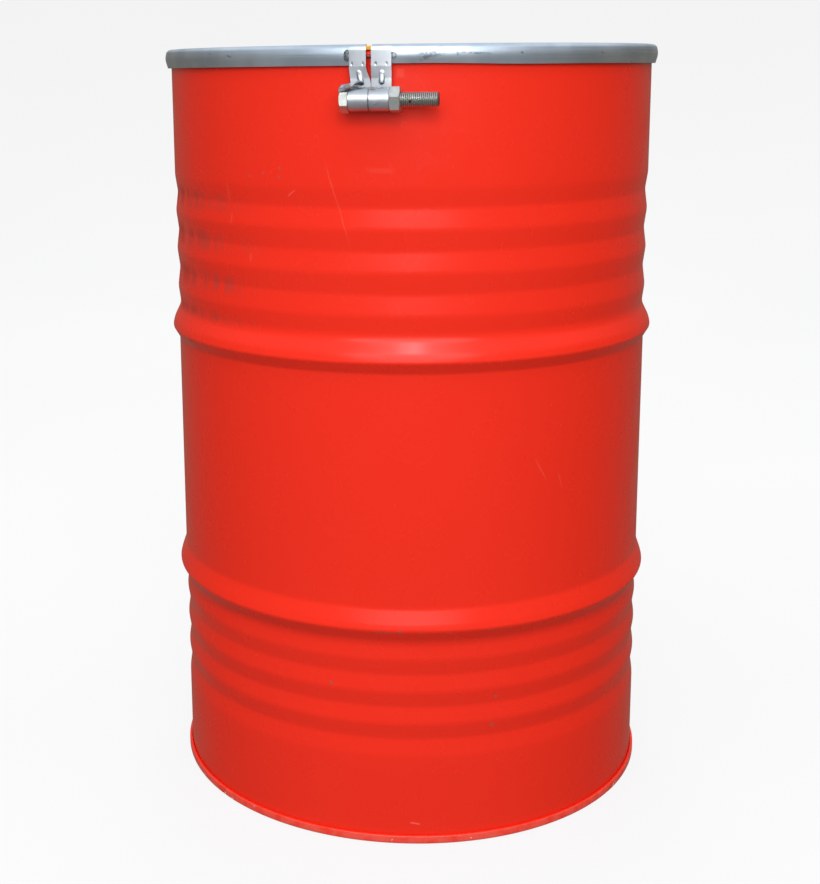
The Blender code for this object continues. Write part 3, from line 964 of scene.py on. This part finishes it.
def make_welds():
    # The head-side weld is darkened to 0.45 as painted shade, standing in for the shadow beside
    # the strap
    mat = weld_metal("head_weld_metal", 0.45)
    one = lump("head_weld", LEFT_WELD, (0.0034, 0.0012, 0.0056), 1.7, mat)
    place(one, "ring", "head_weld_metal", "head_side_weld")
    mat = weld_metal("nut_weld_metal")
    two = lump("nut_weld", RIGHT_WELD, (0.0026, 0.0008, 0.0032), 5.2, mat)
    place(two, "ring", "nut_weld_metal", "nut_side_weld")


# ---------------------------------------------------------------- bolt and nut


def hexagon(turn, phase):
    """Distance from the axis to a hexagon's edge at an angle; phase is a facet's direction."""
    part = (turn - phase + math.pi / 6) % (math.pi / 3) - math.pi / 6
    return FLATS / 2 / math.cos(part)


def hex_bar(name, x0, x1, phase, mats, cuts, bore=None):
    """A hexagon along X from x0 to x1; cuts are the ends that a 30 degree cone trims."""
    count = 180
    small = FLATS / 2 * 0.97
    steep = math.tan(math.radians(30))
    rings = []
    for i in range(count):
        turn = 2 * math.pi * i / count
        wide = hexagon(turn, phase) - 0.00015
        trim = (wide - small) * steep
        line = [(x0, small if 0 in cuts else wide), (x0 + (trim if 0 in cuts else 0.0001), wide)]
        line += [(x1 - (trim if 1 in cuts else 0.0001), wide), (x1, small if 1 in cuts else wide)]
        if bore:
            edge = 0.0009
            line += [(x1, bore + edge), (x1 - edge, bore), (x0 + edge, bore), (x0, bore + edge)]
        else:
            line += [(x1, small * 0.4), (x0, small * 0.4)]
        rings.append([around_bolt(x, turn, r) for x, r in line])
    size = len(rings[0])
    points = [tuple(p) for ring in rings for p in ring]
    faces = []
    for i in range(count):
        a, b = i * size, (i + 1) % count * size
        for j in range(size if bore else size - 1):
            k = (j + 1) % size
            faces.append((a + j, a + k, b + k, b + j))
    if not bore:
        faces.append(tuple(i * size + size - 1 for i in range(count)))
        faces.append(tuple(i * size + size - 2 for i in range(count)))
    return mesh_object(name, points, faces, mats)


def thread_radius(x, turn, start, end):
    """Distance from the axis to the surface of a helical thread that fades in at start."""
    phase = ((x / PITCH - turn / (2 * math.pi)) % 1.0) * 2 - 1
    tooth = smooth(0.12, 0.88, abs(phase))
    depth = THREAD_DEPTH * smooth(start, start + PITCH, x)
    radius = BOLT_R - depth * (1 - tooth)
    return min(radius, BOLT_R - 0.0014 + max(end - x, 0) * 1.2)


def make_bolt():
    left = MEET_X - GAP / 2 - LUG_W - GAP
    mat = plating("bolt_plating")
    head = hex_bar("bolt_head", left - BOLT_HEAD, left, HEAD_FACET, [mat], (0,))
    place(head, "bolt", "bolt_plating", "closing_bolt")
    start, end = NUT_LOW.x - 0.008, BOLT_HIGH.x
    around = 56
    rows = [left - 0.001, start]
    fine = PITCH / 13
    rows += [start + fine * i for i in range(1, int((end - start) / fine))] + [end]
    points = []
    for x in rows:
        for i in range(around):
            turn = 2 * math.pi * i / around
            points.append(tuple(around_bolt(x, turn, thread_radius(x, turn, start, end))))
    faces = []
    for i in range(len(rows) - 1):
        for j in range(around):
            k = (j + 1) % around
            a, b = i * around, (i + 1) * around
            faces.append((a + j, a + k, b + k, b + j))
    faces.append(tuple(range(around)))
    last = (len(rows) - 1) * around
    faces.append(tuple(range(last, last + around)))
    shank = mesh_object("bolt_shank", points, faces, [mat])
    drill(shank)
    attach(shank, "bolt")


def drill(shank):
    """The small hole through the bolt's end for a sealing wire."""
    bm = bmesh.new()
    size = SEAL_HOLE_R
    bmesh.ops.create_cone(bm, cap_ends=True, segments=28, radius1=size, radius2=size, depth=0.03)
    turn = Matrix.Rotation(math.radians(90), 4, "X")
    lean = Matrix.Rotation(SEAL_HOLE_TILT, 4, "X") @ Matrix.Rotation(SEAL_HOLE_SWING, 4, "Z")
    there = Matrix.Translation((SEAL_HOLE_X, AXIS_Y, AXIS_Z)) @ lean @ turn
    bmesh.ops.transform(bm, verts=bm.verts, matrix=there)
    mesh = bpy.data.meshes.new("seal_hole")
    bm.to_mesh(mesh)
    bm.free()
    cutter = bpy.data.objects.new("seal_hole", mesh)
    bpy.context.scene.collection.objects.link(cutter)
    cut = shank.modifiers.new("hole", "BOOLEAN")
    cut.object = cutter
    cut.operation = "DIFFERENCE"
    applied(shank)
    bpy.data.objects.remove(cutter)
    tidy(shank)


def make_nut():
    mat = plating("nut_plating", 0.0)
    obj = hex_bar("nut_body", NUT_LOW.x, NUT_HIGH.x, NUT_FACET, [mat], (0, 1), BOLT_R + 0.0002)
    place(obj, "nut", "nut_plating", "closing_nut")


# ---------------------------------------------------------------- stage


def place(obj, body, slot, node):
    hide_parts(node)
    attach(obj, body)


PAPER_TONES = ((0.085, 0.085, 0.085), (0.095, 0.095, 0.095))
FLOOR_GLOW, WALL_GLOW = 0.83, 0.86
FLOOR_WIDE, FLOOR_NEAR, FLOOR_FAR, FLOOR_HIGH, FLOOR_BEND = 9.0, -7.0, 5.0, 7.0, 1.6
WALL_RADIUS, WALL_BEND, WALL_HIGH, WALL_LIFT = 6.6, 1.8, 8.0, 0.004
LIGHTS = (  # name, place, target, width and height, watts, colour, whether surfaces mirror it
    ("key", (0.24, -1.52, 1.62), (0.05, -0.3, 0.6), (0.26, 0.26), 3.8, (0.84, 0.91, 1.0), True),
    ("front", (0.55, -3.80, 2.35), (0, 0, 0.2), (4.4, 2.6), 108, (1, 1, 1), True),
    ("sky", (0.0, -0.7, 3.4), (0, 0, 0.3), (2.6, 2.6), 34, (0.96, 0.98, 1.0), False),
    ("back", (-0.4, 2.9, 3.2), (0, 0, 0.4), (2.4, 2.4), 62, (1, 1, 1), False),
)
AIR_FRONT, AIR_BACK, AIR_ABOVE = (0.38, 0.38, 0.385), (0.21, 0.185, 0.15), (1.00, 1.05, 1.13)


def paper(name, glow):
    s = Shader(name, roughness=0.9)
    s.main.inputs["Specular IOR Level"].default_value = 0
    s.main.inputs["Emission Color"].default_value = (1, 1, 1, 1)
    s.main.inputs["Emission Strength"].default_value = glow
    tone = s.between(s.noise(0.8, 2.0), 0.3, 0.7)
    return s.finish(s.mix(tone, *PAPER_TONES))


def make_surround():
    """A pale wall with a rounded foot all round the floor, which casts and mirrors nothing."""
    foot = WALL_RADIUS - WALL_BEND
    line = [(foot - 0.4, WALL_LIFT)]
    for i in range(19):
        turn = math.radians(90 * i / 18)
        rise = WALL_BEND - WALL_BEND * math.cos(turn)
        line.append((foot + WALL_BEND * math.sin(turn), rise + WALL_LIFT))
    line.append((WALL_RADIUS, WALL_HIGH))
    points, faces = [], []
    steps = 96
    for i in range(steps):
        turn = 2 * math.pi * i / steps
        points += [(r * math.cos(turn), r * math.sin(turn), z) for r, z in line]
        for j in range(len(line) - 1):
            a = i * len(line) + j
            b = (i + 1) % steps * len(line) + j
            faces.append((a, b, b + 1, a + 1))
    wall = mesh_object("surround", points, faces, [paper("wall_paper", WALL_GLOW)])
    wall.visible_diffuse = False
    wall.visible_glossy = False
    wall.visible_shadow = False


def make_stage():
    """A pale floor that curves up into a backdrop."""
    bend = FLOOR_BEND
    line = [(FLOOR_NEAR, 0.0)]
    for i in range(25):
        turn = math.radians(90 * i / 24)
        line.append((FLOOR_FAR - bend + bend * math.sin(turn), bend - bend * math.cos(turn)))
    line.append((FLOOR_FAR, FLOOR_HIGH))
    points = [(x, y, z) for y, z in line for x in (-FLOOR_WIDE, FLOOR_WIDE)]
    faces = [(2 * i, 2 * i + 1, 2 * i + 3, 2 * i + 2) for i in range(len(line) - 1)]
    floor = mesh_object("floor", points, faces, [paper("floor_paper", FLOOR_GLOW)])
    floor.visible_diffuse = False
    floor.visible_glossy = False


def area_light(name, place_at, target, size, power, color, mirrored):
    data = bpy.data.lights.new(name, "AREA")
    data.shape = "ELLIPSE"
    data.size, data.size_y = size
    data.energy = power
    data.color = color
    light = bpy.data.objects.new(name, data)
    light.location = place_at
    facing = Vector(target) - Vector(place_at)
    light.rotation_euler = facing.to_track_quat("-Z", "Y").to_euler()
    light.visible_glossy = mirrored
    bpy.context.scene.collection.objects.link(light)


def ramp(tree, value, low, high):
    node = tree.nodes.new("ShaderNodeMapRange")
    node.interpolation_type = "SMOOTHSTEP"
    node.inputs["From Min"].default_value = low
    node.inputs["From Max"].default_value = high
    tree.links.new(value, node.inputs["Value"])
    return node.outputs["Result"]


def make_world():
    """Mid-grey surroundings, dimmer and warmer behind the drum, and bright overhead."""
    world = bpy.data.worlds.new("surroundings")
    bpy.context.scene.world = world
    world.use_nodes = True
    tree = world.node_tree
    coord = tree.nodes.new("ShaderNodeTexCoord")
    parts = tree.nodes.new("ShaderNodeSeparateXYZ")
    tree.links.new(coord.outputs["Generated"], parts.inputs[0])
    level = tree.nodes.new("ShaderNodeMix")
    level.data_type = "RGBA"
    level.inputs[6].default_value = (*AIR_FRONT, 1)
    level.inputs[7].default_value = (*AIR_BACK, 1)
    tree.links.new(ramp(tree, parts.outputs["Y"], -0.9, 0.3), level.inputs[0])
    air = tree.nodes.new("ShaderNodeMix")
    air.data_type = "RGBA"
    air.inputs[7].default_value = (*AIR_ABOVE, 1)
    tree.links.new(ramp(tree, parts.outputs["Z"], 0.15, 0.75), air.inputs[0])
    tree.links.new(level.outputs[2], air.inputs[6])
    tree.links.new(air.outputs[2], tree.nodes["Background"].inputs[0])


# Camera, as a pinhole in the photograph's frame
CAMERA_AZIMUTH = math.radians(7.9)
CAMERA_DISTANCE = 1.764
CAMERA_HEIGHT = 0.861
CAMERA_PITCH = math.radians(11.50)
CAMERA_YAW = math.radians(-3.26)
CAMERA_ROLL = math.radians(-0.64)
LENS = 57.9
SHIFT = (0.0905, -0.0928)


def make_camera():
    data = bpy.data.cameras.new("camera")
    data.sensor_width = 36
    data.lens = LENS
    data.shift_x, data.shift_y = SHIFT
    data.clip_start, data.clip_end = 0.05, 60
    camera = bpy.data.objects.new("camera", data)
    bpy.context.scene.collection.objects.link(camera)
    heading = CAMERA_YAW - CAMERA_AZIMUTH
    level = math.cos(CAMERA_PITCH)
    ahead = Vector((math.sin(heading) * level, math.cos(heading) * level, -math.sin(CAMERA_PITCH)))
    right = Vector((math.cos(heading), -math.sin(heading), 0))
    up = right.cross(ahead)
    across = right * math.cos(CAMERA_ROLL) + up * math.sin(CAMERA_ROLL)
    above = up * math.cos(CAMERA_ROLL) - right * math.sin(CAMERA_ROLL)
    turn = Matrix((across, above, -ahead)).transposed()
    back = (math.sin(CAMERA_AZIMUTH), -math.cos(CAMERA_AZIMUTH))
    at = Vector((back[0] * CAMERA_DISTANCE, back[1] * CAMERA_DISTANCE, CAMERA_HEIGHT))
    camera.matrix_world = Matrix.Translation(at) @ turn.to_4x4()
    bpy.context.scene.camera = camera


def build():
    make_camera()
    make_stage()
    make_surround()
    for light in LIGHTS:
        area_light(*light)
    make_world()
    make_shell()
    make_bottom()
    paint_compound()
    make_lid()
    make_gasket()
    make_ring()
    make_lugs()
    make_tongue()
    make_welds()
    make_bolt()
    make_nut()
    bpy.context.scene.view_settings.view_transform = "Standard"


build()
